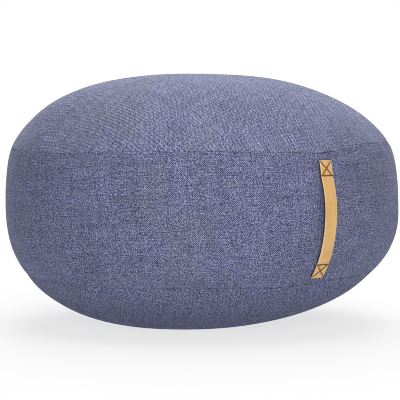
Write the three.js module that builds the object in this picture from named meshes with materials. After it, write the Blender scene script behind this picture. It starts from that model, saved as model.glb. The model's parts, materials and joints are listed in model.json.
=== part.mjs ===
// A round floor pouf of woven wool cloth with one leather carrying strap.
// Millimetres, +Z up. The origin lies on the floor under the middle of the widest level,
// and the strap runs down the front, which faces -Y.
import * as THREE from "three";

// The filled body
const BODY_RADIUS = 275; // at the widest level
const WIDEST_LEVEL = 165.6; // height of the widest level above the floor

// The body above and below its widest level. rise is how far its curve reaches from there, and
// fullness is the curve's exponent: 2 is an ellipse, more is squarer. The belly's curve would end
// a little under the floor, which presses it flat. lean is how far the curve's end is shifted
// sideways, and leanCurve how late the shift sets in.
const CROWN = { rise: 182.2, fullness: 2.56, lean: 12.7, leanCurve: 2.4 };
const BELLY = { rise: 172.2, fullness: 2.32, lean: 27.7, leanCurve: 2.8 };
const LEAN_BEARING = THREE.MathUtils.degToRad(144); // counted from +X towards +Y

// The round seams that join the panels to the side band. dip is how far a seam dips on the side
// that the body leans to. swell is how far the seam stands out from the even curve, or is drawn
// in where it is negative, and reach is how far up and down that fades.
const TOP_SEAM = { level: 246.9, dip: 1.1, swell: 3.4, reach: 75 };
const BOTTOM_SEAM = { level: 73.2, dip: 3.1, swell: -1.9, reach: 53 };
const SEAM_FOLD = 1.8; // radius of the turned-in edge on each side of a seam
const PIECE_GAP = 0.3; // between pieces that touch

// The strap
const STRAP_WIDTH = 20;
const STRAP_THICKNESS = 3;
const STRAP_TOP_LEVEL = 234.5;
const STRAP_BOTTOM_LEVEL = 85.4;
const STRAP_SEWN_LENGTH = 18; // the part of each end that lies flat on the band
const STRAP_SLACK = 6; // gap between the band and the middle of the strap
const STRAP_SEAT = 0.35; // gap under the sewn ends
const STRAP_RISE = 1.5; // exponent that eases the strap away from its sewn ends

// Steps in the curved surfaces
const SIDES = 72;
const PANEL_STEPS = 11;
const BAND_STEPS = 12;
const FOLD_STEPS = 3;
const STRAP_STEPS = 28;

const CLOTH_COLOUR = 0x6f7290;
const LEATHER_COLOUR = 0xcba671;

const leanDirection = new THREE.Vector2(Math.cos(LEAN_BEARING), Math.sin(LEAN_BEARING));

function halfAt(offset) {
  return offset >= 0 ? CROWN : BELLY;
}

function seamSwell(level) {
  let swell = 0;
  for (const seam of [TOP_SEAM, BOTTOM_SEAM]) {
    swell += seam.swell * Math.max(0, 1 - Math.abs(level - seam.level) / seam.reach) ** 2;
  }
  return swell;
}

// The body's outer section as a curve: (radius, level) at an angle from -90 to 90 degrees,
// which is 0 at the widest level.
function sectionPoint(angle) {
  const { rise, fullness } = halfAt(angle);
  const evenRadius = BODY_RADIUS * Math.cos(angle) ** (2 / fullness);
  const level = WIDEST_LEVEL + Math.sign(angle) * rise * Math.abs(Math.sin(angle)) ** (2 / fullness);
  return new THREE.Vector2(evenRadius + seamSwell(level), level);
}

function angleAtLevel(level) {
  const offset = level - WIDEST_LEVEL;
  const { rise, fullness } = halfAt(offset);
  return Math.sign(offset) * Math.asin((Math.abs(offset) / rise) ** (fullness / 2));
}

function radiusAtLevel(level) {
  return sectionPoint(angleAtLevel(level)).x;
}

// A stretch of the section between two levels, which can be divided into even steps.
class SectionCurve extends THREE.Curve {
  constructor(startLevel, endLevel) {
    super();
    this.startAngle = angleAtLevel(startLevel);
    this.endAngle = angleAtLevel(endLevel);
  }

  getPoint(t) {
    return sectionPoint(THREE.MathUtils.lerp(this.startAngle, this.endAngle, t));
  }
}

function sectionBetween(startLevel, endLevel, steps) {
  return new SectionCurve(startLevel, endLevel).getSpacedPoints(steps);
}

// The level where a piece's face begins beside a seam. side is 1 for the piece above the seam
// and -1 for the piece below it.
function faceLevelBeside(seamLevel, side) {
  return seamLevel + side * (PIECE_GAP / 2 + SEAM_FOLD);
}

// The cloth's edge turned in at a seam: a quarter circle from the seam's flat side to the face.
function turnedEdge(seamLevel, side) {
  const faceLevel = faceLevelBeside(seamLevel, side);
  const faceRadius = radiusAtLevel(faceLevel);
  const points = [];
  for (let i = 0; i < FOLD_STEPS; i++) {
    const turn = (i / FOLD_STEPS) * (Math.PI / 2);
    const radius = faceRadius - SEAM_FOLD * (1 - Math.sin(turn));
    points.push(new THREE.Vector2(radius, faceLevel - side * SEAM_FOLD * Math.cos(turn)));
  }
  return points;
}

function onAxis(level) {
  return new THREE.Vector2(0, level);
}

// How far the ring at a level is shifted sideways.
function leanAt(level) {
  const offset = level - WIDEST_LEVEL;
  const { rise, lean, leanCurve } = halfAt(offset);
  return leanDirection.clone().multiplyScalar(lean * (Math.abs(offset) / rise) ** leanCurve);
}

// How far a point slides down the face because its seam dips. It is nothing at the floor, at the
// widest level and at the top.
function dipAt(x, y, level) {
  const offset = level - WIDEST_LEVEL;
  const reach = offset >= 0 ? CROWN.rise : WIDEST_LEVEL;
  const nearSeam = Math.sin(Math.PI * Math.abs(offset) / reach);
  const towardsLean = (x * leanDirection.x + y * leanDirection.y) / BODY_RADIUS;
  return (offset >= 0 ? TOP_SEAM : BOTTOM_SEAM).dip * nearSeam * towardsLean;
}

// Moves the vertices of a round piece from the even body to the uneven one.
function settle(geometry) {
  const position = geometry.attributes.position;
  for (let i = 0; i < position.count; i++) {
    const x = position.getX(i);
    const y = position.getY(i);
    const level = position.getZ(i);
    const dip = dipAt(x, y, level);
    const spread = Math.abs(dip) > 0 ? radiusAtLevel(level - dip) / radiusAtLevel(level) : 1;
    const lean = leanAt(level - dip);
    position.setXYZ(i, x * spread + lean.x, y * spread + lean.y, level - dip);
  }
  geometry.computeVertexNormals();
  return geometry;
}

// A filled round piece from its half section, listed from the bottom of the axis to its top.
function roundPiece(halfSection) {
  const geometry = new THREE.LatheGeometry(halfSection, SIDES).rotateX(Math.PI / 2);
  const cloth = new THREE.MeshStandardMaterial({ color: CLOTH_COLOUR, roughness: 0.95, metalness: 0 });
  return new THREE.Mesh(settle(geometry), cloth);
}

function topPanel() {
  const topLevel = WIDEST_LEVEL + CROWN.rise;
  const dome = sectionBetween(faceLevelBeside(TOP_SEAM.level, 1), topLevel, PANEL_STEPS);
  return roundPiece([
    onAxis(TOP_SEAM.level + PIECE_GAP / 2),
    ...turnedEdge(TOP_SEAM.level, 1),
    ...dome.slice(0, -1),
    onAxis(topLevel),
  ]);
}

function sideBand() {
  const lowLevel = faceLevelBeside(BOTTOM_SEAM.level, 1);
  const highLevel = faceLevelBeside(TOP_SEAM.level, -1);
  return roundPiece([
    onAxis(BOTTOM_SEAM.level + PIECE_GAP / 2),
    ...turnedEdge(BOTTOM_SEAM.level, 1),
    ...sectionBetween(lowLevel, highLevel, BAND_STEPS),
    ...turnedEdge(TOP_SEAM.level, -1).reverse(),
    onAxis(TOP_SEAM.level - PIECE_GAP / 2),
  ]);
}

// The lower panel is pressed flat where it meets the floor.
function bottomPanel() {
  return roundPiece([
    onAxis(0),
    ...sectionBetween(0, faceLevelBeside(BOTTOM_SEAM.level, -1), PANEL_STEPS),
    ...turnedEdge(BOTTOM_SEAM.level, -1).reverse(),
    onAxis(BOTTOM_SEAM.level - PIECE_GAP / 2),
  ]);
}

// The band's face down the middle of the front, as (distance in front of the axis, level).
function bandFront(level) {
  const lean = leanAt(level);
  return new THREE.Vector2(Math.sqrt(radiusAtLevel(level) ** 2 - lean.x ** 2) - lean.y, level);
}

// How far the strap's back stands off the band, from 0 at its lower end to 1 at its upper end.
function strapStandOff(along) {
  const sewnShare = STRAP_SEWN_LENGTH / (STRAP_TOP_LEVEL - STRAP_BOTTOM_LEVEL);
  const free = THREE.MathUtils.clamp((along - sewnShare) / (1 - 2 * sewnShare), 0, 1);
  return STRAP_SEAT + (STRAP_SLACK - STRAP_SEAT) * Math.max(0, Math.sin(Math.PI * free)) ** STRAP_RISE;
}

// One face of the strap in side view, a distance in front of the strap's back.
function strapFace(distance) {
  const points = [];
  for (let i = 0; i <= STRAP_STEPS; i++) {
    const along = i / STRAP_STEPS;
    const level = THREE.MathUtils.lerp(STRAP_BOTTOM_LEVEL, STRAP_TOP_LEVEL, along);
    const uphill = bandFront(level + 1).sub(bandFront(level - 1)).normalize();
    const outwards = new THREE.Vector2(uphill.y, -uphill.x);
    points.push(bandFront(level).addScaledVector(outwards, strapStandOff(along) + distance));
  }
  return points;
}

// The strap is its side view, drawn as (forward, up) and extruded across its width.
function carryStrap() {
  const sideView = new THREE.Shape([...strapFace(STRAP_THICKNESS), ...strapFace(0).reverse()]);
  const geometry = new THREE.ExtrudeGeometry(sideView, { depth: STRAP_WIDTH, bevelEnabled: false });
  const forward = new THREE.Vector3(0, -1, 0);
  const up = new THREE.Vector3(0, 0, 1);
  const across = new THREE.Vector3(-1, 0, 0);
  geometry.translate(0, 0, -STRAP_WIDTH / 2);
  geometry.applyMatrix4(new THREE.Matrix4().makeBasis(forward, up, across));
  const leather = new THREE.MeshStandardMaterial({ color: LEATHER_COLOUR, roughness: 0.6, metalness: 0 });
  return new THREE.Mesh(geometry, leather);
}

const pieces = {
  top_panel: topPanel(),
  side_band: sideBand(),
  bottom_panel: bottomPanel(),
  carry_strap: carryStrap(),
};

const pouf = new THREE.Group();
for (const [name, mesh] of Object.entries(pieces)) {
  mesh.name = name;
  pouf.add(mesh);
}

export default pouf;
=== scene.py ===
"""A round floor pouf of herringbone wool cloth with a leather carrying strap."""

import json
import math

import bpy
import numpy as np
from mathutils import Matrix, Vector

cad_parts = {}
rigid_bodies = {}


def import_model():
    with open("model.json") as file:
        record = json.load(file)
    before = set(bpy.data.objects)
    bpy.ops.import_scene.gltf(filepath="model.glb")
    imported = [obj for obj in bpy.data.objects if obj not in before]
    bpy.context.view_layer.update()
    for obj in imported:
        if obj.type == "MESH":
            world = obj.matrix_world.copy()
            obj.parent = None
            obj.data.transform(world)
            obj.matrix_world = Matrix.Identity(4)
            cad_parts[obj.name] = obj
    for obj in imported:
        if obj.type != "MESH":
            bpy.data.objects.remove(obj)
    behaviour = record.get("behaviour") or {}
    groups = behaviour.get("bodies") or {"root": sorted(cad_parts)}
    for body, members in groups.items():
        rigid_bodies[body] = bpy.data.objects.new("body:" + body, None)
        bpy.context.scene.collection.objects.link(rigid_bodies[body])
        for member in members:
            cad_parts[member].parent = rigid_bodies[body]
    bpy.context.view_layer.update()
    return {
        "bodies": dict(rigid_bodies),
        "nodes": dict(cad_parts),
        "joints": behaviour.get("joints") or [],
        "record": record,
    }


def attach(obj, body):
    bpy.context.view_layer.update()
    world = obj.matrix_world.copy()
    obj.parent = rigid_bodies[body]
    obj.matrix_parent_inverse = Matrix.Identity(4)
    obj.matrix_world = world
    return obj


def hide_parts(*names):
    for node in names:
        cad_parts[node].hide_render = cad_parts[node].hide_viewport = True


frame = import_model()

# Metres and radians. The origin lies on the floor under the middle of the widest level, and the
# strap runs down the front, which faces -Y. A bearing is counted from +X towards +Y.
MM = 0.001
FRONT = math.radians(-90)
BACK = math.radians(90)

# The filled body: a section that is a little squarer than an ellipse, above and below its widest
# level, leaning slightly to one side.
BODY_RADIUS = 275 * MM
WIDEST_LEVEL = 165.6 * MM
CROWN = {"rise": 182.2 * MM, "fullness": 2.56, "lean": 12.7 * MM, "lean_curve": 2.4}
BELLY = {"rise": 172.2 * MM, "fullness": 2.32, "lean": 27.7 * MM, "lean_curve": 2.8}
LEAN_BEARING = math.radians(144)
FLOOR_ROUNDING = 2.5 * MM  # how softly the belly meets the floor

# The round seams. swell is how far a seam stands out from the even section and reach how far that
# fades. By the distance round from the strap, run lists how far the seam runs above its even level
# and fold how wide it lies open, as a share of SEAM_FOLD.
TOP_SEAM = {
    "level": 246.9 * MM,
    "dip": 1.1 * MM,
    "swell": 3.4 * MM,
    "reach": 75 * MM,
    "run": (
        (-700, 0), (-380, -2.2), (-290, 0.6), (-110, 1.1), (-62, -0.4), (-30, -1.7), (-10, -3.0),
        (0, -3.8), (10, -2.2), (28, -0.4), (48, 2.8), (74, 6.2), (110, 6.8), (260, 3.0), (500, 0),
    ),
    "fold": (
        (-700, 0.8), (-480, 0.5), (-380, 0.2), (-300, 0.2), (-250, 0.5), (-170, 0.7), (-140, 1.0),
        (-100, 0.8), (-84, 0.5), (-62, 0.9), (-30, 1.1), (10, 1.1), (20, 0.6), (32, 0.3), (60, 0.3),
        (72, 0.9), (112, 0.8), (150, 0.5), (300, 0.8), (500, 0.7),
    ),
}
BOTTOM_SEAM = {
    "level": 73.2 * MM,
    "dip": 3.1 * MM,
    "swell": -1.9 * MM,
    "reach": 53 * MM,
    "run": (
        (-700, 0), (-316, -0.8), (-190, 0.6), (-110, -0.2), (-38, -2.2), (0, -0.4), (75, 1.9), (300, 0),
    ),
    "fold": ((-700, 0.6), (-316, 0.4), (-190, 0.6), (-60, 0.7), (0, 0.5), (75, 0.7), (500, 0.6)),
}
SEAMS = (TOP_SEAM, BOTTOM_SEAM)
SEAM_RUN_REACH = 70 * MM  # how far from the seam its run still carries the cloth with it
SEAM_FOLD = 1.1 * MM  # radius of the cloth's turned edge on each side of a seam
SEAM_FOLD_CHANGE = 0.45  # share by which that radius changes along the seam
SLOW_FOLD = {"lowest": 5, "highest": 16, "count": 4}  # waves by which it changes
QUICK_FOLD = {"lowest": 40, "highest": 110, "count": 6}
FOLD_LIMITS = (0.3, 2)  # least and greatest change
SEAM_TUCK = 4 * MM  # how far the two cloths run in together
SEAM_GAP = 0.1 * MM
BACK_SEAM = {"depth": 1.3 * MM, "width": 0.9 * MM, "puff": 0.5 * MM, "puff_width": 9 * MM}
BACK_SEAM_CAUGHT = (1.5 * MM, 8 * MM)  # it starts and is whole this far from the round seams
BACK_SEAM_COLUMNS = (0.3, 0.6, 0.9, 1.3, 1.8)  # extra columns beside it, in mm from its middle

# The strap
STRAP_WIDTH = 20 * MM
STRAP_THICKNESS = 3 * MM
STRAP_TOP_LEVEL = 235.3 * MM
STRAP_BOTTOM_LEVEL = 85.4 * MM
STRAP_SEWN_LENGTH = 18 * MM
STRAP_SLACK = 5.7 * MM
STRAP_BOW = 1.45  # more than 1 puts the widest gap above the middle
STRAP_SEAT = 0.35 * MM
STRAP_RISE = 1.5
STRAP_EDGE = 1.3 * MM  # rounding of its edges

# The weave: a twill of two yarns over and two under, which turns back at each column of yarns
YARN_PITCH = 0.622 * MM
CROSS_RIDGE = 0.35  # strength of the painted light and shade of the ridges across a column, as a share of those along it
TOP_GRAIN = math.radians(-87)  # bearing along which the columns run on each round panel
BOTTOM_GRAIN = math.radians(-125.5)

# Steps in the surfaces
COLUMNS = 720
ROW_STEP = 3.6 * MM
SEAM_ROW_STEP = 0.5 * MM
ROW_GROWTH = 0.12
FOLD_STEPS = 5
SECTION_SAMPLES = 6001
SEED = 7
TINY = 1e-9  # keeps a division from failing at the section's ends


def ease(share):
    """Turns an even rise from 0 to 1 into a smooth one."""
    return share * share * (3 - 2 * share)


def pick(offset, key):
    """The crown's value above the widest level and the belly's below it."""
    return np.where(offset >= 0, CROWN[key], BELLY[key])


def seam_swell(level):
    swell = 0.0
    for seam in SEAMS:
        near = np.clip(1 - np.abs(level - seam["level"]) / seam["reach"], 0, None)
        swell = swell + seam["swell"] * near**2
    return swell


def section_point(angle):
    """Radius and level of the body's outer section, at an angle that is 0 at the widest level."""
    power = 2 / pick(angle, "fullness")
    level = WIDEST_LEVEL + np.sign(angle) * pick(angle, "rise") * np.abs(np.sin(angle)) ** power
    return BODY_RADIUS * np.abs(np.cos(angle)) ** power + seam_swell(level), level


def section_table():
    """The whole section as radii, levels and distances along it, from the belly's end to the crown's."""
    radius, level = section_point(np.linspace(-math.pi / 2, math.pi / 2, SECTION_SAMPLES))
    steps = np.hypot(np.diff(radius), np.diff(level))
    return radius, level, np.concatenate([[0], np.cumsum(steps)])


SECTION_RADIUS, SECTION_LEVEL, SECTION_WAY = section_table()
CROWN_WAY = SECTION_WAY[-1]


def radius_at(level):
    return np.interp(level, SECTION_LEVEL, SECTION_RADIUS)


def way_at(level):
    """Distance along the section, counted from the belly's end."""
    return np.interp(level, SECTION_LEVEL, SECTION_WAY)


def level_at(way):
    return np.interp(way, SECTION_WAY, SECTION_LEVEL)


def from_seam(seam, way):
    """Distance from a seam along the section."""
    return np.abs(way - way_at(seam["level"]))


def lean_at(level):
    """How far the ring at a level is shifted sideways."""
    offset = level - WIDEST_LEVEL
    return pick(offset, "lean") * (np.abs(offset) / pick(offset, "rise")) ** pick(offset, "lean_curve")


def smooth_between(places, values, at):
    """A smooth curve through the given values that never overshoots them."""
    places, values = np.array(places), np.array(values)
    slope = np.diff(values) / np.diff(places)
    tangent = np.zeros(len(values))
    same_way = slope[1:] * slope[:-1] > 0
    mean = 2 * slope[1:] * slope[:-1] / np.where(same_way, slope[1:] + slope[:-1], 1)
    tangent[1:-1] = np.where(same_way, mean, 0)
    i = np.clip(np.searchsorted(places, at, side="right") - 1, 0, len(places) - 2)
    width = places[i + 1] - places[i]
    t = np.clip((at - places[i]) / width, 0, 1)
    start = (1 + 2 * t) * (1 - t) ** 2 * values[i] + t * (1 - t) ** 2 * width * tangent[i]
    end = ease(t) * values[i + 1] + t * t * (t - 1) * width * tangent[i + 1]
    return start + end


def turn_from(middle, bearing):
    """The signed turn from one bearing to another, by the shorter way round."""
    return (bearing - middle + math.pi) % math.tau - math.pi


def round_from_strap(bearing, level):
    """Signed distance round the body from the strap, to the right of it seen from the front."""
    return turn_from(FRONT, bearing) * radius_at(level)


def along_seam(seam, table, bearing):
    """A value that a seam's table lists by the distance round from the strap in mm."""
    places, values = zip(*seam[table])
    return smooth_between(places, values, round_from_strap(bearing, seam["level"]) / MM)


def waves(bearing, kind, seed):
    """An uneven wave round the body, of about -1 to 1, made of whole numbers of waves."""
    draw = np.random.default_rng(seed)
    total = 0.0
    for number in draw.integers(kind["lowest"], kind["highest"], kind["count"]):
        total = total + np.cos(number * bearing + draw.uniform(0, math.tau))
    return total / math.sqrt(kind["count"])


def body_point(bearing, level, radius):
    """The place of a point of the even section on the uneven body, and how its seam carries it."""
    offset = level - WIDEST_LEVEL
    reach = np.where(offset >= 0, CROWN["rise"], WIDEST_LEVEL)
    towards_lean = radius * np.cos(bearing - LEAN_BEARING) / BODY_RADIUS
    near = np.sin(math.pi * np.clip(np.abs(offset) / reach, 0, 1))
    dip = np.where(offset >= 0, TOP_SEAM["dip"], BOTTOM_SEAM["dip"]) * near * towards_lean
    for seam in SEAMS:
        fade = np.clip(1 - from_seam(seam, way_at(level)) / SEAM_RUN_REACH, 0, 1)
        dip = dip - along_seam(seam, "run", bearing) * MM * ease(fade)
    moved = level - dip
    spread = radius_at(moved) / np.maximum(radius_at(level), TINY)
    lean = lean_at(moved)
    x = radius * spread * np.cos(bearing) + lean * math.cos(LEAN_BEARING)
    y = radius * spread * np.sin(bearing) + lean * math.sin(LEAN_BEARING)
    return np.stack(np.broadcast_arrays(x, y, moved), axis=-1)


def outward(bearing, level):
    """The direction that the even section faces, which both pieces at a seam share."""
    offset = level - WIDEST_LEVEL
    power = pick(offset, "fullness") - 1
    rise = pick(offset, "rise")
    side = (np.clip(radius_at(level) / BODY_RADIUS, 0, 1)) ** power / BODY_RADIUS
    up = np.sign(offset) * np.clip(np.abs(offset) / rise, 0, 1) ** power / rise
    length = np.hypot(side, up)
    side, up = side / length, up / length
    return np.stack(np.broadcast_arrays(side * np.cos(bearing), side * np.sin(bearing), up), axis=-1)


# Unevenness of the filled cloth

# A coarse cloth of the whole body is blown up between its held seams. Only its wrinkles are kept.
TRIAL = {"columns": 168, "rows": 82, "frames": 18}
TRIAL_CLOTH = {
    "quality": 5,
    "tension_stiffness": 15.0,
    "compression_stiffness": 15.0,
    "bending_stiffness": 0.5,
    "use_pressure": True,
    "uniform_pressure_force": 4.0,
    "shrink_min": -0.010,  # the cloth is this share larger than the body it covers
}
HELD_BELOW = 4 * MM  # the cloth stays where it is below this level
WRINKLES = {"share": 0.8, "deepest": 1.8 * MM}
NEAR_STRAP = (14 * MM, 50 * MM)  # wrinkles grow between these distances from the strap's middle
LUMP = {"height": 0.8 * MM, "shortest": 95 * MM, "longest": 210 * MM, "count": 14}
GATHER = {"height": 0.55 * MM, "fade": 26 * MM, "lowest": 18, "highest": 46, "count": 9}
PUCKER = {"height": 0.3 * MM, "fade": 8 * MM, "lowest": 95, "highest": 175, "count": 8}
PATCHY = 0.35  # how far gathers and puckers come and go along a seam
PATCHES = {"lowest": 3, "highest": 12, "count": 4}
SEAM_DRAW = {"height": -0.5 * MM, "fade": 5 * MM}
CALM_BELOW = 4 * MM  # the cloth is even below this level
CALM_REACH = 40 * MM  # how far above it the unevenness grows to its full size


def lumps(points):
    """Long soft waves through space, so that they run on across the seams."""
    draw = np.random.default_rng(SEED)
    total = 0.0
    for _ in range(LUMP["count"]):
        direction = draw.normal(size=3)
        direction /= np.linalg.norm(direction)
        wavelength = draw.uniform(LUMP["shortest"], LUMP["longest"])
        phase = draw.uniform(0, math.tau)
        total = total + np.cos(points @ direction * (math.tau / wavelength) + phase)
    return LUMP["height"] * total / math.sqrt(LUMP["count"] / 2)


class Wrinkles:
    """The wrinkles of a simulated cloth, as how far it stands out beyond its mean at each level."""

    def __init__(self):
        self.bearing = np.linspace(0, math.tau, TRIAL["columns"], endpoint=False)
        self.way = np.linspace(0, CROWN_WAY, TRIAL["rows"] + 2)[1:-1]
        level, bearing = np.meshgrid(level_at(self.way), self.bearing, indexing="ij")
        out = outward(bearing, level)
        points = body_point(bearing, level, radius_at(level))
        points = rest_on_floor(points + out * lumps(points)[..., None])
        self.out = np.zeros(level.shape)
        moved = np.sum((self.blown_up(points) - points) * out, axis=-1)
        moved = WRINKLES["share"] * (moved - moved.mean(axis=1)[:, None])
        self.out = WRINKLES["deepest"] * np.tanh(moved / WRINKLES["deepest"])

    def held(self, points):
        """The vertices that stay in place: along both seams and where the body rests."""
        held = points[..., 2] < HELD_BELOW
        for seam in SEAMS:
            held[np.argmin(from_seam(seam, self.way))] = True
        return [int(number) for number in np.flatnonzero(held)]

    def blown_up(self, points):
        rows, columns = points.shape[:2]
        no_uv = np.zeros((rows, columns + 1, 2))
        obj = closed_piece("trial_cloth", points, no_uv, ((0, 0), (0, 0)), False)
        group = obj.vertex_groups.new(name="held")
        group.add(self.held(points) + [rows * columns], 1.0, "REPLACE")
        settings = obj.modifiers.new("cloth", "CLOTH").settings
        for key, value in TRIAL_CLOTH.items():
            setattr(settings, key, value)
        settings.vertex_group_mass = group.name
        settings.effector_weights.gravity = 0
        for frame in range(1, TRIAL["frames"] + 1):
            bpy.context.scene.frame_set(frame)
        blown = obj.evaluated_get(bpy.context.evaluated_depsgraph_get()).data
        places = np.empty(len(blown.vertices) * 3, dtype=np.float32)
        blown.vertices.foreach_get("co", places)
        mesh = obj.data
        bpy.data.objects.remove(obj)
        bpy.data.meshes.remove(mesh)
        bpy.context.scene.frame_set(1)
        return places.reshape(-1, 3)[: rows * columns].reshape(points.shape).astype(float)

    def at(self, bearing, way):
        """A smooth surface near the simulated one, by cubic B-splines."""
        rows, columns = self.out.shape
        column = bearing / math.tau * columns
        row = np.interp(way, self.way, np.arange(rows))
        total = 0.0
        for down, row_share in spline_weights(row):
            for along, column_share in spline_weights(column):
                value = self.out[np.clip(down, 0, rows - 1), along % columns]
                total = total + row_share * column_share * value
        return total


def spline_weights(place):
    """The four grid lines round a place, each with its share of a cubic B-spline."""
    first = np.floor(place).astype(int)
    t = place - first
    shares = ((1 - t) ** 3, 3 * t**3 - 6 * t**2 + 4, -3 * t**3 + 3 * t**2 + 3 * t + 1, t**3)
    return [(first + step - 1, share / 6) for step, share in enumerate(shares)]


def seam_marks(bearing, way):
    """Gathers and puckers that run out from the two round seams."""
    total = 0.0
    for number, seam in enumerate(SEAMS):
        away = from_seam(seam, way)
        seed = SEED + 10 * number
        patches = 1 - PATCHY + PATCHY * waves(bearing, PATCHES, seed + 1)
        for kind, seed_step in ((GATHER, 2), (PUCKER, 3)):
            wave = waves(bearing, kind, seed + seed_step)
            total = total + kind["height"] * patches * wave * np.exp(-away / kind["fade"])
        total = total + SEAM_DRAW["height"] * np.exp(-away / SEAM_DRAW["fade"])
    return total


def bump(distance, width):
    return np.exp(-((distance / width) ** 2))


DIMPLE = {"depth": 0.9 * MM, "width": 5 * MM, "puff": 0.7 * MM, "puff_at": 9 * MM, "puff_width": 5 * MM}
DRAWN_IN = {"depth": 1.6 * MM, "width": 30 * MM}
CREASE_FADE = 0.85  # share of its depth that a crease loses towards its end
CREASES = (
    # start and end as (across, level) in mm, depth and width in mm
    {"start": (-11, 236), "end": (-40, 241), "depth": 2.4, "width": 3.2},
    {"start": (-12, 229), "end": (-34, 231), "depth": 1.5, "width": 8.0},
    {"start": (11, 238), "end": (40, 245), "depth": 1.8, "width": 3.4},
    {"start": (38, 248), "end": (82, 250), "depth": 1.6, "width": 3.2},
    {"start": (9, 82), "end": (30, 76), "depth": 0.8, "width": 4.5},
)


def from_line(x, y, start, end):
    """The share of the way along a line to its point nearest to a place, and the distance to it."""
    run = end - start
    share = np.clip(((x - start[0]) * run[0] + (y - start[1]) * run[1]) / (run @ run), 0, 1)
    return share, np.hypot(x - start[0] - share * run[0], y - start[1] - share * run[1])


def crease(across, level, line):
    """A trough along a line on the front of the band, fading out at its ends."""
    start, end = np.array(line["start"]) * MM, np.array(line["end"]) * MM
    share, away = from_line(across, level, start, end)
    strength = 1 - CREASE_FADE * share
    return -line["depth"] * MM * strength * bump(away, line["width"] * MM)


def strap_marks(bearing, level):
    """How the strap's sewn ends press into the band and draw creases from their corners."""
    across = round_from_strap(bearing, level)
    half = STRAP_SEWN_LENGTH / 2
    total = 0.0
    for middle in (STRAP_TOP_LEVEL - half, STRAP_BOTTOM_LEVEL + half):
        beside = np.clip(np.abs(across) - STRAP_WIDTH / 2, 0, None)
        beyond = np.clip(np.abs(level - middle) - half, 0, None)
        outside = np.hypot(beside, beyond)
        total = total - DIMPLE["depth"] * bump(outside, DIMPLE["width"])
        total = total + DIMPLE["puff"] * bump(outside - DIMPLE["puff_at"], DIMPLE["puff_width"])
        total = total - DRAWN_IN["depth"] * bump(outside, DRAWN_IN["width"]) * (outside > 0)
    for line in CREASES:
        total = total + crease(across, level, line)
    return total


def back_seam_marks(bearing, way):
    """The seam that closes the band into a ring, down the back, caught in both round seams."""
    away = turn_from(BACK, bearing) * BODY_RADIUS
    half = BACK_SEAM["puff_width"] / 2
    puff = BACK_SEAM["puff"] * bump(np.abs(away) - half, half)
    depth = BACK_SEAM["depth"] * bump(away, BACK_SEAM["width"])
    start, whole = BACK_SEAM_CAUGHT
    clear = np.minimum(*(from_seam(seam, way) for seam in SEAMS))
    return (puff - depth) * ease(np.clip((clear - start) / (whole - start), 0, 1))


def rest_on_floor(points):
    """Presses the belly flat at the floor, with a soft roll round the flat spot."""
    z = points[..., 2]
    roll = (z + FLOOR_ROUNDING) ** 2 / (4 * FLOOR_ROUNDING)
    points[..., 2] = np.where(z > FLOOR_ROUNDING, z, np.where(z < -FLOOR_ROUNDING, 0, roll))
    return points


def clear_of_strap(bearing, level):
    """Rises from 0 under the strap, which holds the band flat, to 1 away from it."""
    beyond = np.clip(np.maximum(level - STRAP_TOP_LEVEL, STRAP_BOTTOM_LEVEL - level), 0, None)
    away = np.hypot(round_from_strap(bearing, level), beyond)
    return ease(np.clip((away - NEAR_STRAP[0]) / (NEAR_STRAP[1] - NEAR_STRAP[0]), 0, 1))


def uneven(bearing, level, is_band):
    """How far the cloth stands out from the even body."""
    even = body_point(bearing, level, radius_at(level))
    way = way_at(level)
    total = lumps(even) + seam_marks(bearing, way) + strap_marks(bearing, level)
    total = total + wrinkles.at(bearing, way) * clear_of_strap(bearing, level)
    if is_band:
        total = total + back_seam_marks(bearing, way)
    return total * ease(np.clip((level - CALM_BELOW) / CALM_REACH, 0, 1))


# Meshes


def column_bearings():
    """Bearings of the columns, closer together beside the seam down the back."""
    even = np.linspace(0, math.tau, COLUMNS, endpoint=False)
    fine = np.array(BACK_SEAM_COLUMNS) * MM / BODY_RADIUS
    return BACK + np.sort(np.concatenate([even, fine, math.tau - fine]))


def graded(length, both_ends):
    """Distances along a face, close together beside a seam and wider further from it."""
    reach = length / 2 if both_ends else length
    marks = [0.0]
    while marks[-1] < reach:
        marks.append(marks[-1] + min(ROW_STEP, SEAM_ROW_STEP + ROW_GROWTH * marks[-1]))
    marks = np.array(marks) * reach / marks[-1]
    if both_ends:
        marks = np.concatenate([marks, length - marks[-2::-1]])
    return marks


def fold_radius(seam, bearing):
    seed = SEED + round(seam["level"] / MM)
    slow, quick = waves(bearing, SLOW_FOLD, seed), waves(bearing, QUICK_FOLD, seed + 1)
    change = 1 + SEAM_FOLD_CHANGE * (slow + quick) / 2
    return SEAM_FOLD * along_seam(seam, "fold", bearing) * np.clip(change, *FOLD_LIMITS)


def turned_edge(seam, side, bearing):
    """Rows from where the two cloths run in together out to the face beside the seam."""
    fold = fold_radius(seam, bearing)
    flat = seam["level"] + side * SEAM_GAP / 2
    face_radius = radius_at(flat + side * fold)
    rows = [(face_radius - fold - SEAM_TUCK, flat + 0 * fold)]
    for turn in np.linspace(0, math.pi / 2, FOLD_STEPS, endpoint=False):
        rows.append((face_radius - fold * (1 - math.sin(turn)), flat + side * fold * (1 - math.cos(turn))))
    return rows


def face_edge(seam, side, bearing):
    """The level at which the face above or below a seam begins."""
    return seam["level"] + side * SEAM_GAP / 2 + side * fold_radius(seam, bearing)


def face_between(start, end, both_ends):
    """Rows of a face between two levels, which may change along the bearing."""
    start_way, end_way = way_at(start), way_at(end)
    marks = graded(float(np.mean(np.abs(end_way - start_way))), both_ends)
    rows = []
    for share in marks / marks[-1]:
        level = level_at(start_way + share * (end_way - start_way))
        rows.append((radius_at(level), level))
    return rows


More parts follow.
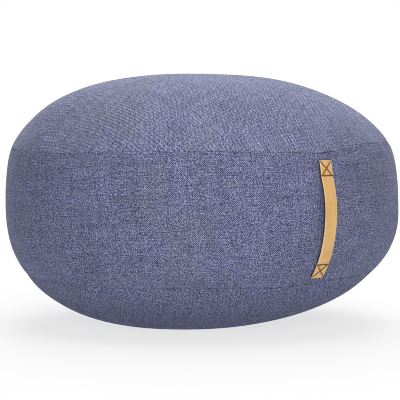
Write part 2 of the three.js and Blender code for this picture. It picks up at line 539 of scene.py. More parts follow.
def place_rows(rows, bearing, is_band):
    """Points of every row on the uneven body, rows by columns."""
    radius = np.array([row[0] for row in rows])
    level = np.array([row[1] for row in rows])
    bearings = np.broadcast_to(bearing, radius.shape)
    points = body_point(bearings, level, radius)
    points += outward(bearings, level) * uneven(bearings, level, is_band)[..., None]
    return rest_on_floor(points), level


def ring_faces(rows, columns):
    """Four-cornered faces between rows of a closed ring, as vertex numbers and as UV places."""
    r, c = np.meshgrid(np.arange(rows - 1), np.arange(columns), indexing="ij")
    after = (c + 1) % columns
    here, above = r * columns, (r + 1) * columns
    corners = np.stack([here + c, here + after, above + after, above + c], -1)
    places = np.stack([(r, c), (r, c + 1), (r + 1, c + 1), (r + 1, c)], 0)
    return corners.reshape(-1, 4), places.transpose(2, 3, 0, 1).reshape(-1, 4, 2)


def add_object(name, data):
    obj = bpy.data.objects.new(name, data)
    bpy.context.scene.collection.objects.link(obj)
    return obj


def build_mesh(name, vertices, faces, uvs):
    """A smooth shaded mesh from vertices, a list of face arrays and the UV of each face corner."""
    mesh = bpy.data.meshes.new(name)
    sizes = np.concatenate([np.full(len(group), group.shape[1]) for group in faces])
    corners = np.concatenate([group.ravel() for group in faces]).astype(np.int32)
    mesh.vertices.add(len(vertices))
    mesh.vertices.foreach_set("co", vertices.astype(np.float32).ravel())
    mesh.loops.add(len(corners))
    mesh.loops.foreach_set("vertex_index", corners)
    mesh.polygons.add(len(sizes))
    starts = np.concatenate([[0], np.cumsum(sizes)[:-1]]).astype(np.int32)
    mesh.polygons.foreach_set("loop_start", starts)
    layer = mesh.uv_layers.new(name="Cloth")
    mesh.update(calc_edges=True)
    layer.uv.foreach_set("vector", uvs.astype(np.float32).ravel())
    mesh.polygons.foreach_set("use_smooth", np.ones(len(sizes), dtype=bool))
    mesh.validate()
    return add_object(name, mesh)


def closed_piece(name, points, uv_grid, pole_uvs, flip):
    """A closed piece from rings of points. The first and last ring close on one point each."""
    rows, columns = points.shape[:2]
    faces, places = ring_faces(rows, columns)
    groups = [faces]
    face_uvs = [uv_grid[places[..., 0], places[..., 1]]]
    start = np.arange(columns)
    for number, (row, order) in enumerate(((0, [1, 0]), (rows - 1, [0, 1]))):
        rim = row * columns + np.stack([start, (start + 1) % columns], -1)[:, order]
        pole = np.full((columns, 1), rows * columns + number)
        groups.append(np.concatenate([rim, pole], axis=1))
        rim_uv = uv_grid[row, np.stack([start, start + 1], -1)[:, order]]
        pole_uv = np.broadcast_to(pole_uvs[number], (columns, 1, 2))
        face_uvs.append(np.concatenate([rim_uv, pole_uv], axis=1))
    if flip:
        groups = [group[:, ::-1] for group in groups]
        face_uvs = [uvs[:, ::-1] for uvs in face_uvs]
    poles = np.stack([points[0].mean(axis=0), points[-1].mean(axis=0)])
    vertices = np.concatenate([points.reshape(-1, 3), poles])
    uvs = np.concatenate([group.reshape(-1, 2) for group in face_uvs])
    return build_mesh(name, vertices, groups, uvs)


def wrapped(values, further=0.0):
    """Values round a ring, with the first one again at the end and that much further on."""
    return np.concatenate([values, values[..., :1] + further], axis=-1)


def disc_uv(level, bearing, grain, centre_way):
    """Cloth coordinates of a round panel in metres: across and along its columns of twill."""
    distance = np.abs(centre_way - way_at(wrapped(level)))
    turn = wrapped(bearing, math.tau) - grain
    return np.stack([-distance * np.sin(turn), distance * np.cos(turn)], -1)


def panel_cloth(name, bearing, seam, side, grain, end):
    """A round panel from its seam to the section's end, above the seam where side is 1."""
    rows = turned_edge(seam, side, bearing)
    edge = face_edge(seam, side, bearing)
    rows += face_between(edge, np.full_like(bearing, SECTION_LEVEL[end]), False)[:-1]
    points, level = place_rows(rows, bearing, False)
    uv = disc_uv(level, bearing, grain, SECTION_WAY[end])
    return closed_piece(name, points, uv, (uv[0, 0], (0, 0)), side < 0)


def top_cloth(bearing):
    return panel_cloth("top_cloth", bearing, TOP_SEAM, 1, TOP_GRAIN, -1)


def bottom_cloth(bearing):
    return panel_cloth("bottom_cloth", bearing, BOTTOM_SEAM, -1, BOTTOM_GRAIN, 0)


def band_cloth(bearing):
    rows = turned_edge(BOTTOM_SEAM, 1, bearing)
    rows += face_between(face_edge(BOTTOM_SEAM, 1, bearing), face_edge(TOP_SEAM, -1, bearing), True)
    rows += turned_edge(TOP_SEAM, -1, bearing)[::-1]
    points, level = place_rows(rows, bearing, True)
    way = way_at(wrapped(level)) - way_at(WIDEST_LEVEL)
    round_way = np.broadcast_to(wrapped(bearing, math.tau) * BODY_RADIUS, way.shape)
    uv = np.stack([way, round_way], -1)
    return closed_piece("band_cloth", points, uv, (uv[0, 0], uv[-1, 0]), False)


# The strap

STRAP_STATIONS = 300  # rings of the leather's mesh between its rounded ends
STRAP_SAMPLES = 2001  # places that are worked out along its line
STRAP_FRONT_STEPS = 24
STRAP_BACK_STEPS = 6
STRAP_EDGE_STEPS = 5
STRAP_PRESS = 0.8 * MM  # how far the sewn ends are pressed into the band
STRAP_EASE = 0.12  # share of the free length over which that presses less and less
STITCH_SIDE = 8.8 * MM  # from the strap's middle to the end of a stitch line
STITCH_LOW_END = 3.4 * MM  # from the strap's lower cut end to its cross of thread
STITCH_HIGH_END = 1.4 * MM  # the same at its upper end
STITCH_BOX = 18.8 * MM  # length of a cross, with a line across the strap at its inner side
STITCH_GAP = 1.3 * MM  # between the two stitches of the line across
# A smaller arch keeps a stitch flat over more of its length
CROSS_THREAD = {"radius": 0.47 * MM, "arch": 0.2}
BAR_THREAD = {"radius": 0.68 * MM, "arch": 0.35}
THREAD_SINK = 0.9 * MM  # how deep a stitch's ends go into their holes
THREAD_PROUD = 0.35  # how far a stitch's middle lies above the leather, as a share of its radius
CROSSING = {"lift": 1.2, "width": 0.07}  # shares of the radius and of the length
THREAD_SIDES = 10
THREAD_STEPS = 22
GROOVE = {"depth": 0.3 * MM, "width": 1.2 * MM}
HOLE = {"depth": 0.7 * MM, "width": 0.75 * MM}


def band_front(level):
    """The band's even face down the middle of the front, as distance forward and level."""
    lean = lean_at(level)
    side, back = lean * math.cos(LEAN_BEARING), lean * math.sin(LEAN_BEARING)
    return np.stack([np.sqrt(radius_at(level) ** 2 - side**2) - back, level], -1)


def stand_off(along):
    """How far the strap's back stands off the band, from 0 at its lower end to 1 at its upper end."""
    sewn = STRAP_SEWN_LENGTH / (STRAP_TOP_LEVEL - STRAP_BOTTOM_LEVEL)
    free = np.clip((along - sewn) / (1 - 2 * sewn), 0, 1)
    lift = np.clip(np.sin(math.pi * free**STRAP_BOW), 0, 1) ** STRAP_RISE
    pressed = 1 - np.clip(free / STRAP_EASE, 0, 1) * np.clip((1 - free) / STRAP_EASE, 0, 1)
    return STRAP_SEAT + (STRAP_SLACK - STRAP_SEAT) * lift - STRAP_PRESS * pressed


def outward_beside(run):
    """The outward direction beside a line that runs up the front."""
    run = run / np.linalg.norm(run, axis=1)[:, None]
    return np.stack([run[:, 1], -run[:, 0]], -1)


class StrapLine:
    """The line down the middle of the strap's back, and its outward direction, by distance up it."""

    def __init__(self):
        along = np.linspace(0, 1, STRAP_SAMPLES)
        level = STRAP_BOTTOM_LEVEL + along * (STRAP_TOP_LEVEL - STRAP_BOTTOM_LEVEL)
        out = outward_beside(band_front(level + MM) - band_front(level - MM))
        band = body_point(np.full_like(level, FRONT), level, radius_at(level))
        self.line = band_front(level) + out * (stand_off(along) + lumps(band))[:, None]
        steps = np.linalg.norm(np.diff(self.line, axis=0), axis=1)
        self.way = np.concatenate([[0], np.cumsum(steps)])
        self.length = self.way[-1]
        self.out = outward_beside(np.gradient(self.line, self.way, axis=0))

    def at(self, way, across, height):
        """The place of a point on the strap: up it, across it and above its back."""
        along = np.clip(way, 0, self.length)
        line, out = (
            np.stack([np.interp(along, self.way, table[:, k]) for k in (0, 1)], -1)
            for table in (self.line, self.out)
        )
        run = np.stack([-out[..., 1], out[..., 0]], -1)
        place = line + out * height[..., None] + run * (way - along)[..., None]
        return np.stack([across, -place[..., 0], place[..., 1]], -1)


def strap_section():
    """The strap's section from the middle of its back all round, as (across, height) and distance."""
    half, edge = STRAP_WIDTH / 2 - STRAP_EDGE, STRAP_EDGE
    points = [(x, 0) for x in np.linspace(0, half, STRAP_BACK_STEPS + 1)]
    turns = np.linspace(0, math.pi / 2, STRAP_EDGE_STEPS + 1)
    points += [(half + edge * math.sin(t), edge - edge * math.cos(t)) for t in turns[1:]]
    points += [(half + edge * math.cos(t), STRAP_THICKNESS - edge + edge * math.sin(t)) for t in turns]
    points += [(x, STRAP_THICKNESS) for x in np.linspace(half, 0, STRAP_FRONT_STEPS + 1)[1:]]
    right = np.array(points)
    section = np.concatenate([right, right[-2:0:-1] * (-1, 1)])
    steps = np.diff(np.concatenate([section, section[:1]]), axis=0)
    return section, np.concatenate([[0], np.cumsum(np.hypot(steps[:, 0], steps[:, 1]))])


def stitch_lines(length):
    """The lines of thread at both ends of the strap: a cross with one line across its inner side."""
    lines = []
    low, high = STITCH_LOW_END, length - STITCH_HIGH_END
    for outer, inner in ((low, low + STITCH_BOX), (high, high - STITCH_BOX)):
        for side, is_over in ((-1, False), (1, True)):
            ends = np.array([(side * STITCH_SIDE, outer), (-side * STITCH_SIDE, inner)])
            lines.append({"ends": ends, **CROSS_THREAD, "over": is_over})
        for side in (-1, 1):
            ends = np.array([(side * STITCH_GAP / 2, inner), (side * STITCH_SIDE, inner)])
            lines.append({"ends": ends, **BAR_THREAD, "over": False})
    return lines


def pressed_in(across, way, lines):
    """How deep the threads and their holes press the leather in at each point."""
    deepest = np.zeros_like(across)
    for line in lines:
        _, away = from_line(across, way, *line["ends"])
        deepest = np.maximum(deepest, GROOVE["depth"] * bump(away, GROOVE["width"]))
        for hole in line["ends"]:
            away = np.hypot(across - hole[0], way - hole[1])
            deepest = np.maximum(deepest, HOLE["depth"] * bump(away, HOLE["width"]))
    return deepest


def strap_leather_piece(line, lines):
    section, round_way = strap_section()
    turns = np.linspace(0, math.pi / 2, STRAP_EDGE_STEPS + 1)[:-1]
    inset, lift = STRAP_EDGE * (1 - np.sin(turns)), STRAP_EDGE * (1 - np.cos(turns))
    middle = np.linspace(STRAP_EDGE, line.length - STRAP_EDGE, STRAP_STATIONS)
    way = np.concatenate([lift, middle, line.length - lift[::-1]])[:, None]
    shrink = np.concatenate([inset, np.zeros(STRAP_STATIONS), inset[::-1]])[:, None]
    half_width, half_thickness = STRAP_WIDTH / 2, STRAP_THICKNESS / 2
    across = section[:, 0] * (1 - shrink / half_width)
    height = half_thickness + (section[:, 1] - half_thickness) * (1 - shrink / half_thickness)
    ways = np.broadcast_to(way, across.shape)
    front = np.clip(height / half_thickness - 1, 0, 1)
    pressed = front * pressed_in(across, ways, lines)
    points = line.at(ways, across, height - pressed)
    rolled = way - shrink * np.sign(line.length / 2 - way)
    uv = np.stack(np.broadcast_arrays(round_way, rolled), -1)
    obj = closed_piece("strap_leather", points, uv, (uv[0, 0], uv[-1, 0]), True)
    layer = obj.data.attributes.new("Pressed", "FLOAT", "POINT")
    layer.data.foreach_set("value", np.append(pressed / GROOVE["depth"], (0, 0)).astype(np.float32))
    return obj


def thread_rings(strap, line):
    """Rings of one stitch's thread, from the hole it comes out of to the hole it goes into."""
    (start, end), radius = line["ends"], line["radius"]
    run = (end - start) / np.linalg.norm(end - start)
    share = np.linspace(0, 1, THREAD_STEPS)
    centre = start + (end - start) * share[:, None]
    arch = np.clip(np.sin(math.pi * share), 0, 1) ** line["arch"]
    height = STRAP_THICKNESS - THREAD_SINK + (THREAD_SINK + THREAD_PROUD * radius) * arch
    if line["over"]:
        height = height + CROSSING["lift"] * radius * bump(share - 0.5, CROSSING["width"])
    turn = np.linspace(0, math.tau, THREAD_SIDES, endpoint=False)
    across = centre[:, 0:1] - radius * np.cos(turn) * run[1]
    way = centre[:, 1:2] + radius * np.cos(turn) * run[0]
    return strap.at(way, across, height[:, None] + radius * np.sin(turn))


def strap_stitches(strap, lines):
    """The threads of both ends as one mesh."""
    vertices, faces, uvs = [], [], []
    quads, places = ring_faces(THREAD_STEPS, THREAD_SIDES)
    ring = np.arange(THREAD_SIDES)
    for number, line in enumerate(lines):
        first = number * THREAD_STEPS * THREAD_SIDES
        length = math.dist(*line["ends"])
        size = (length / THREAD_STEPS, math.tau * line["radius"] / THREAD_SIDES)
        vertices.append(thread_rings(strap, line).reshape(-1, 3))
        faces += [quads + first, (first + ring[::-1])[None, :]]
        faces.append((first + (THREAD_STEPS - 1) * THREAD_SIDES + ring)[None, :])
        uvs += [places * size, np.zeros((2, THREAD_SIDES, 2))]
    flat_uvs = np.concatenate([group.reshape(-1, 2) for group in uvs])
    return build_mesh("strap_stitches", np.concatenate(vertices), faces, flat_uvs)


# Materials


# Each noise as its scale, how many finer ones lie in it and how strong they are
NOISES = {
    "wander": (75, 2, 0.6),
    "yarn": (1, 1.5, 0.6),
    "streak": (1, 2, 0.5),
    "fuzz": (2.2, 2, 0.7),
    "fleck": (0.36, 2, 0.75),
    "cloud": (22, 4, 0.65),
    "ridge": (14, 2, 0.5),
    "patch": (9, 2, 0.5),
    "hide": (55, 3, 0.6),
    "hide_pale": (120, 2, 0.6),
    "hide_wrinkle": (420, 3, 0.6),
}


class Graph:
    """The nodes of a material or of the world, with short calls for the kinds that are used."""

    def __init__(self, owner):
        self.owner = owner
        owner.use_nodes = True
        self.tree = owner.node_tree
        self.tree.nodes.clear()

    def add(self, kind, inputs=None, **settings):
        """A new node with its settings, and with values or other nodes fed to its inputs."""
        node = self.tree.nodes.new("ShaderNode" + kind)
        for name, value in settings.items():
            setattr(node, name, value)
        for key, value in (inputs or {}).items():
            if isinstance(value, bpy.types.NodeSocket):
                self.tree.links.new(value, node.inputs[key])
            else:
                node.inputs[key].default_value = value
        return node

    def principled(self, look):
        return self.add("BsdfPrincipled", look).outputs[0]

    def blend(self, share, first, second):
        """From the first surface to the second by share."""
        return self.add("MixShader", {0: share, 1: first, 2: second}).outputs[0]

    def done(self, surface):
        """Shows the surface, and gives back the material or the world."""
        is_world = isinstance(self.owner, bpy.types.World)
        self.add("OutputWorld" if is_world else "OutputMaterial", {"Surface": surface})
        return self.owner

    def math(self, operation, *values):
        return self.add("Math", dict(enumerate(values)), operation=operation).outputs[0]

    def times(self, first, second):
        return self.math("MULTIPLY", first, second)

    def plus(self, first, second):
        return self.math("ADD", first, second)

    def minus(self, first, second):
        return self.math("SUBTRACT", first, second)

    def mix(self, share, first, second):
        """Colour from the first to the second by share. The node's colours are its sockets 6 and 7."""
        return self.add("Mix", {0: share, 6: first, 7: second}, data_type="RGBA").outputs[2]

    def remap(self, value, low, high, to_low, to_high, smooth=False):
        kind = "SMOOTHSTEP" if smooth else "LINEAR"
        values = dict(enumerate((value, low, high, to_low, to_high)))
        return self.add("MapRange", values, interpolation_type=kind, clamp=True).outputs[0]

    def vector(self, x, y, z=0.0):
        return self.add("CombineXYZ", {0: x, 1: y, 2: z}).outputs[0]

    def noise(self, vector, kind, dimensions="3D"):
        scale, detail, roughness = NOISES[kind]
        inputs = {"Vector": vector, "Scale": scale, "Detail": detail, "Roughness": roughness}
        return self.add("TexNoise", inputs, noise_dimensions=dimensions).outputs[0]

    def scaled(self, vector, by):
        return self.add("VectorMath", {0: vector, "Scale": by}, operation="SCALE").outputs[0]

    def random(self, vector):
        """An even random number from 0 to 1 for each place."""
        return self.add("TexWhiteNoise", {"Vector": vector}, noise_dimensions="3D").outputs["Value"]

    def uv(self):
        cloth = self.add("UVMap", uv_map="Cloth").outputs[0]
        return self.add("SeparateXYZ", {0: cloth}).outputs[:2]

    def place(self):
        return self.add("TexCoord").outputs["Object"]

    def seen(self):
        """1 where the camera looks at the surface itself, and 0 for the light that comes from it."""
        return self.add("LightPath").outputs["Is Camera Ray"]

    def relief(self, height, strength):
        """Bump from a height in metres."""
        return self.add("Bump", {"Strength": strength, "Distance": 1.0, "Height": height}).outputs[0]


NAVY = (0.016, 0.023, 0.093, 1)
PALE = (0.301, 0.322, 0.487, 1)
GREY_GREEN = (0.165, 0.185, 0.215, 1)
TWILL_REPEAT = 4  # yarns: two over and two under
YARNS_APART = 17.31  # sets neighbouring yarns far apart in the noise
STREAK = (0.09, 0.008)  # how quickly groups of yarns change tone across and along them
LONG_STREAK = 0.03  # how quickly a yarn's own tone changes along it, for each yarn that it crosses
# own is a yarn's least and greatest tone towards the other colour. away is how far a float's tone
# goes the other way, as a share of how far it scatters towards it.
WARP_TONE = {"own": (-0.25, 0.42), "away": 0.75}
WEFT_TONE = {"own": (-0.08, 0.24), "away": 0.85}
# The part of a noise that is used, and where there are four values what its ends become
YARN_RANGE = (0.3, 0.7)
FLECK_RANGE = (0.32, 0.68)
RIDGE_RANGE = (0.35, 0.65)
PATCH_RANGE = (0.56, 0.72)
CLOUD_RANGE = (0.3, 0.7, 0.92, 1.08)
STREAK_RANGE = (0.7, 1.3, 0.88, 1.12)
WEAKEST_RIDGE = 0.4  # share of its strength that a ridge keeps where it is weakest
PATCH_GREY = 0.22  # how much greyer a patch is
COLUMN_LINE = {"between": 1.05, "darker": 0.32}  # brightness between lines, and how much darker a line is
YARN_RELIEF = {"yarn": 0.10 * MM, "fuzz": 0.16 * MM, "strength": 0.7}
WOOL_LOOK = {
    "Roughness": 0.92,
    "Specular IOR Level": 0.25,
    "Sheen Weight": 0.2,
    "Sheen Roughness": 0.22,
    "Sheen Tint": (0.72, 0.76, 0.95, 1),
}


# How the cloth of each piece looks: its tone, how far its yarns sway, how unlike they are, how
# flecked and how grey it is, how strong its painted ridge light and shade is and how many yarns a column
# has. The top panel's higher tone and its grey are painted light: lighter as if lit from above, and paler
# as if from sheen.
TOP_WEAVE = {
    "tone": 1.22, "sway": 1.0, "scatter": 0.2, "fleck": 0.85, "grey": 0.12, "ridge": 0.38, "columns": 8,
}
BAND_WEAVE = {
    "tone": 1.0, "sway": 2.2, "scatter": 0.6, "fleck": 0.8, "grey": 0.0, "ridge": 0.06, "columns": 6,
}
BOTTOM_WEAVE = {
    "tone": 0.96, "sway": 1.8, "scatter": 0.6, "fleck": 1.0, "grey": 0.0, "ridge": 0.1, "columns": 6,
}


def twill(g, warp, weft, columns):
    """Which yarn lies on top. The steps run up one column of warp yarns and down the next."""
    repeat = g.math("FLOORED_MODULO", warp, 2 * columns)
    second = g.math("GREATER_THAN", repeat, columns - 0.5)
    up = g.times(g.minus(1, second), repeat)
    down = g.times(second, g.minus(2 * columns + 1, repeat))
    step = g.plus(weft, g.plus(up, down))
    place = g.math("FLOORED_MODULO", step, TWILL_REPEAT)
    return step, g.math("LESS_THAN", place, TWILL_REPEAT / 2 - 0.5)


def yarn_tones(g, across, along, warp, weft, step, scatter, columns):
    """How far each pale warp float is towards navy, and each navy weft float towards pale."""
    number = g.math("FLOOR", g.math("DIVIDE", step, TWILL_REPEAT))
    column = g.math("FLOOR", g.math("DIVIDE", warp, columns))
    warp_float = g.random(g.vector(warp, number, 0.5))
    weft_float = g.random(g.vector(weft, number, g.plus(column, 0.5)))
    warp_place = g.vector(g.times(warp, YARNS_APART), g.times(along, LONG_STREAK))
    weft_place = g.vector(g.times(across, LONG_STREAK), g.times(weft, YARNS_APART))
    shares = []
    for one, place, tone in ((warp_float, warp_place, WARP_TONE), (weft_float, weft_place, WEFT_TONE)):
        own = g.remap(g.noise(place, "yarn", "2D"), *YARN_RANGE, *tone["own"])
        shares.append(g.plus(g.remap(one, 0, 1, -tone["away"] * scatter, scatter), own))
    return shares


def wool_relief(g, across, along, warp_on_top):
    """Round yarns with fuzz on them."""
    bulges = []
    for value in (along, across):
        middle = g.minus(g.times(g.math("FRACT", value), 2), 1)
        bulges.append(g.minus(1, g.times(middle, middle)))
    weft, warp = bulges
    yarn = g.times(g.plus(g.times(warp_on_top, g.minus(warp, weft)), weft), YARN_RELIEF["yarn"])
    fuzz = g.times(g.noise(g.vector(across, along), "fuzz", "2D"), YARN_RELIEF["fuzz"])
    return g.relief(g.plus(yarn, fuzz), YARN_RELIEF["strength"])


def streak(g, over_yarns, along_yarns):
    """A soft tone that changes over a few yarns and hardly along them."""
    place = g.vector(g.times(over_yarns, STREAK[0]), g.times(along_yarns, STREAK[1]))
    return g.noise(place, "streak", "2D")


def painted_ridge_light(g, across, along, place, strength, columns):
    """Painted light and shade of soft ridges down the middle of each column, crossed by weaker ones,
    stronger in some patches.
    """
    turn = math.tau / columns
    down = g.math("COSINE", g.times(across, turn))
    over = g.times(g.math("COSINE", g.times(along, turn)), CROSS_RIDGE)
    patchy = g.remap(g.noise(place, "ridge"), *RIDGE_RANGE, WEAKEST_RIDGE * strength, strength)
    return g.plus(1, g.times(g.plus(down, over), patchy))


def wool_material(name, tone, sway, scatter, fleck, grey, ridge, columns):
    """Herringbone twill of navy and pale yarns, each flecked with lighter and darker fibre."""
    g = Graph(bpy.data.materials.new(name))
    u, v = g.uv()
    place = g.place()
    wander = g.times(g.minus(g.noise(place, "wander"), 0.5), sway)
    across = g.plus(g.math("DIVIDE", u, YARN_PITCH), wander)
    along = g.minus(g.math("DIVIDE", v, YARN_PITCH), wander)
    warp, weft = g.math("FLOOR", across), g.math("FLOOR", along)
    step, warp_on_top = twill(g, warp, weft, columns)
    warp_share, weft_share = yarn_tones(g, across, along, warp, weft, step, scatter, columns)
    woven = g.mix(warp_on_top, g.mix(weft_share, NAVY, PALE), g.mix(warp_share, PALE, NAVY))

    # Flecks over a few yarns, soft clouds, streaks along both sets of yarns, painted light and shade
    # of ridges, darker lines where the columns meet, greyish patches
    flecks = g.noise(g.vector(across, along), "fleck", "2D")
    flecks = g.remap(flecks, *FLECK_RANGE, 1 - fleck, 1 + fleck)
    clouds = g.remap(g.noise(place, "cloud"), *CLOUD_RANGE)
    streaks = g.remap(g.plus(streak(g, across, along), streak(g, along, across)), *STREAK_RANGE)
    clouds = g.times(g.times(clouds, streaks), painted_ridge_light(g, across, along, place, ridge, columns))
    meeting = g.math("LESS_THAN", g.math("FLOORED_MODULO", warp, columns), 0.5)
    line = g.minus(COLUMN_LINE["between"], g.times(meeting, COLUMN_LINE["darker"]))
    # The piece's tone is painted light on the whole piece: the top panel is lighter as if lit from above
    shade = g.times(g.times(flecks, clouds), g.times(line, tone))
    # The base greyness of the top panel is a painted paleness of sheen
    patches = g.remap(g.noise(place, "patch"), *PATCH_RANGE, grey, grey + PATCH_GREY, True)
    colour = g.scaled(g.mix(patches, woven, GREY_GREEN), shade)
    relief = wool_relief(g, across, along, warp_on_top)
    return g.done(g.principled({"Base Color": colour, "Normal": relief, **WOOL_LOOK}))


TAN = (0.760, 0.470, 0.180, 1)
TAN_DEEP = (0.640, 0.350, 0.105, 1)
TAN_PALE = (0.800, 0.560, 0.290, 1)
# A painted highlight along the strap's rounded edges
PAINTED_EDGE_HIGHLIGHT = (0.820, 0.640, 0.420, 1)
# The strap's dark sides: partly dark edge paint, partly painted shadow of the gap between strap and cloth
BURNISH_AND_PAINTED_SHADOW = (0.060, 0.026, 0.016, 1)
FLESH = (0.470, 0.330, 0.190, 1)
STITCHED = (0.300, 0.135, 0.035, 1)
SECTION_ROUND = 2 * STRAP_WIDTH + 2 * STRAP_THICKNESS - (8 - math.tau) * STRAP_EDGE
BEVEL = STRAP_WIDTH / 2 - STRAP_EDGE
# Bands along the strap. start is the distance round its section from the middle of its front. The first
# band is a painted highlight along the rounded edges. The second darkens the sides, partly as dark edge
# paint and partly as painted shadow of the gap between strap and cloth. The third is the paler flesh side.
BANDS = (
    {"start": BEVEL - 0.7 * MM, "width": 0.9 * MM, "share": 0.75, "colour": PAINTED_EDGE_HIGHLIGHT},
    {"start": BEVEL + 0.75 * MM, "width": 0.5 * MM, "share": 1, "colour": BURNISH_AND_PAINTED_SHADOW},
    {"start": SECTION_ROUND / 2 - BEVEL - 0.4 * MM, "width": 0.6 * MM, "share": 1, "colour": FLESH},
)
# The part of a noise that is used, and what its ends become
DEEP_RANGE = (0.35, 0.7, 0, 0.6)
PALE_RANGE = (0.5, 0.75, 0, 0.5)
ROUGH_RANGE = (0.3, 0.7, 0.5, 0.62)
PRESSED_RANGE = (0.15, 1.6, 0, 1)  # the same for how deep a thread presses the leather in
HIDE_GLOSS = 0.4
HIDE_RELIEF = {"cell": 0.7 * MM, "depth": 0.05 * MM, "wrinkle": 0.10 * MM, "strength": 0.6}


def leather_material():
    """Smooth tanned leather with a fine grain, pale bevels that are a painted highlight, and dark edges
    that are partly dark edge paint and partly painted shadow of the gap under them.
    """
    g = Graph(bpy.data.materials.new("tan_leather"))
    u, v = g.uv()
    place = g.place()
    cloud = g.noise(place, "hide")
    colour = g.mix(g.remap(cloud, *DEEP_RANGE, True), TAN, TAN_DEEP)
    colour = g.mix(g.remap(g.noise(place, "hide_pale"), *PALE_RANGE, True), colour, TAN_PALE)

    # Bands round the section: a painted highlight on the rounded edges, dark sides that are partly painted
    # shadow, and the flesh side on the back
    from_front = g.math("ABSOLUTE", g.minus(u, SECTION_ROUND / 2))
    for band in BANDS:
        amount = g.remap(from_front, band["start"], band["start"] + band["width"], 0, band["share"], True)
        colour = g.mix(amount, colour, band["colour"])
    pressed = g.add("Attribute", attribute_name="Pressed").outputs["Fac"]
    colour = g.mix(g.remap(pressed, *PRESSED_RANGE), colour, STITCHED)

    cells = g.add("TexVoronoi", {"Vector": g.vector(u, v), "Scale": 1 / HIDE_RELIEF["cell"]})
    grain = g.times(cells.outputs["Distance"], HIDE_RELIEF["depth"])
    wrinkle = g.times(g.noise(place, "hide_wrinkle"), HIDE_RELIEF["wrinkle"])
    relief = g.relief(g.plus(grain, wrinkle), HIDE_RELIEF["strength"])
    rough = g.remap(cloud, *ROUGH_RANGE)
    look = {"Base Color": colour, "Normal": relief, "Roughness": rough, "Specular IOR Level": HIDE_GLOSS}
    return g.done(g.principled(look))


THREAD = (0.070, 0.028, 0.010, 1)
# A painted highlight on the crests of the plies; the darker thread colour also stands as painted shade in
# the grooves between them
THREAD_PAINTED_HIGHLIGHT = (0.150, 0.062, 0.020, 1)
THREAD_ROUGH = 0.6
PLY = {"along": 0.75 * MM, "around": 1.1 * MM, "depth": 0.3 * MM, "strength": 0.8}


def thread_material():
    """Waxed thread of twisted plies, with painted shade between the plies and a painted highlight on their
    crests.
    """
    g = Graph(bpy.data.materials.new("brown_thread"))
    along, around = g.uv()
    twist = g.plus(g.math("DIVIDE", along, PLY["along"]), g.math("DIVIDE", around, PLY["around"]))
    ply = g.math("PINGPONG", twist, 0.5)
    # Darker between the plies and lighter on their crests: painted shade and highlight
    colour = g.mix(g.times(ply, 2), THREAD, THREAD_PAINTED_HIGHLIGHT)
    relief = g.relief(g.times(ply, PLY["depth"]), PLY["strength"])
    return g.done(g.principled({"Base Color": colour, "Normal": relief, "Roughness": THREAD_ROUGH}))


# Stage

CAMERA = {"azimuth": -35.5, "elevation": 3.70, "distance": 2.310}
AIM = {"right": -2.67 * MM, "level": 170.8 * MM}
FOCAL_PIXELS = 1636.4
FRAME_PIXELS = 400
SENSOR_WIDTH = 36.0
WHITE = (1, 1, 1)
SOFT_WHITE = (1, 0.98, 0.95)
WARM_WHITE = (1, 0.94, 0.85)
FULL = 1.0
AMBIENT = 0.06
FLOOR_GLOW = (0.12, 0.80, 0.72, 1.0)  # two distances from the middle, and the floor's own glow at each
FLOOR_LIGHT = 0.42  # share of that glow which lights the object too
FLOOR_LOOK = {"Base Color": (0.86, 0.86, 0.87, 1), "Roughness": 0.8, "Specular IOR Level": 0.1}
FLOOR_SHAPE = {"vertices": 96, "radius": 8, "fill_type": "NGON", "location": (0, 0, -0.1 * MM)}
PIXEL_FILTER = 1.0


def add_facing(name, data, target, azimuth, elevation, distance):
    """Adds a camera or light that faces a target. Azimuth 0 is the front and 90 the right side."""
    a, e = math.radians(azimuth), math.radians(elevation)
    back = Vector((math.sin(a) * math.cos(e), -math.cos(a) * math.cos(e), math.sin(e)))
    obj = add_object(name, data)
    obj.location = target + back * distance
    obj.rotation_euler = back.to_track_quat("Z", "Y").to_euler()
    return obj


def add_camera():
    data = bpy.data.cameras.new("camera")
    data.sensor_width = SENSOR_WIDTH
    data.lens = FOCAL_PIXELS / FRAME_PIXELS * SENSOR_WIDTH
    a = math.radians(CAMERA["azimuth"])
    aim = Vector((math.cos(a), math.sin(a), 0)) * AIM["right"] + Vector((0, 0, AIM["level"]))
    bpy.context.scene.camera = add_facing("camera", data, aim, **CAMERA)


def add_world():
    """An even studio surround: white behind the object and a softer light from all round."""
    g = Graph(bpy.data.worlds.new("studio"))
    light, white = (
        g.add("Background", {"Color": (*WHITE, 1), "Strength": strength}).outputs[0]
        for strength in (AMBIENT, FULL)
    )
    bpy.context.scene.world = g.done(g.blend(g.seen(), light, white))
    bpy.context.scene.view_settings.view_transform = "Standard"


def keep_weave_sharp():
    """A narrow pixel filter, and noise removal that trusts the fine colours of the weave."""
    cycles = bpy.context.scene.cycles
    cycles.filter_width = PIXEL_FILTER
    cycles.denoising_prefilter = "NONE"


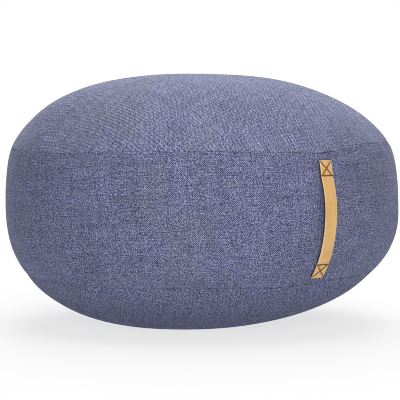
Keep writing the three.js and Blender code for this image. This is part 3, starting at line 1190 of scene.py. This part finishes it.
def floor_material():
    """Pale matt floor that is seen to run out into the white surround."""
    g = Graph(bpy.data.materials.new("pale_floor"))
    away = g.add("VectorMath", {0: g.place()}, operation="LENGTH").outputs["Value"]
    far = g.remap(away, *FLOOR_GLOW, True)
    share = g.times(far, g.remap(g.seen(), 0, 1, FLOOR_LIGHT, 1))
    glow = g.add("Emission", {"Strength": FULL}).outputs[0]
    return g.done(g.blend(share, g.principled(FLOOR_LOOK), glow))


def add_floor():
    bpy.ops.mesh.primitive_circle_add(**FLOOR_SHAPE)
    floor = bpy.context.object
    floor.name = "floor"
    floor.data.materials.append(floor_material())


def add_area(name, direction, distance, size, power, colour):
    """A square soft light that faces the object."""
    data = bpy.data.lights.new(name, "AREA")
    data.shape = "SQUARE"
    data.size = size
    data.energy = power
    data.color = colour
    add_facing(name, data, Vector((0, 0, WIDEST_LEVEL)), *direction, distance)


# direction is the azimuth and elevation that a light shines from
LIGHTS = (
    {"name": "overhead", "direction": (-20, 80), "distance": 3, "size": 2, "power": 49,
     "colour": SOFT_WHITE},
    {"name": "front", "direction": (-35, 15), "distance": 2, "size": 0.5, "power": 14.1, "colour": WHITE},
    {"name": "right", "direction": (20, 40), "distance": 3, "size": 1.8, "power": 11, "colour": WARM_WHITE},
    {"name": "left_rim", "direction": (-168, 4), "distance": 3, "size": 1, "power": 6, "colour": WHITE},
    {"name": "behind", "direction": (144.5, 45), "distance": 3, "size": 2, "power": 76, "colour": WHITE},
)


def dress(piece, node, material):
    piece.data.materials.append(material)
    if node:
        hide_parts(node)
    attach(piece, "root")


add_camera()
add_world()
keep_weave_sharp()
add_floor()
for light in LIGHTS:
    add_area(**light)

wrinkles = Wrinkles()
bearings = column_bearings()
for build, node, weave in (
    (top_cloth, "top_panel", TOP_WEAVE),
    (band_cloth, "side_band", BAND_WEAVE),
    (bottom_cloth, "bottom_panel", BOTTOM_WEAVE),
):
    piece = build(bearings)
    dress(piece, node, wool_material(node + "_wool", **weave))

strap_line = StrapLine()
strap_lines = stitch_lines(strap_line.length)
dress(strap_leather_piece(strap_line, strap_lines), "carry_strap", leather_material())
dress(strap_stitches(strap_line, strap_lines), None, thread_material())
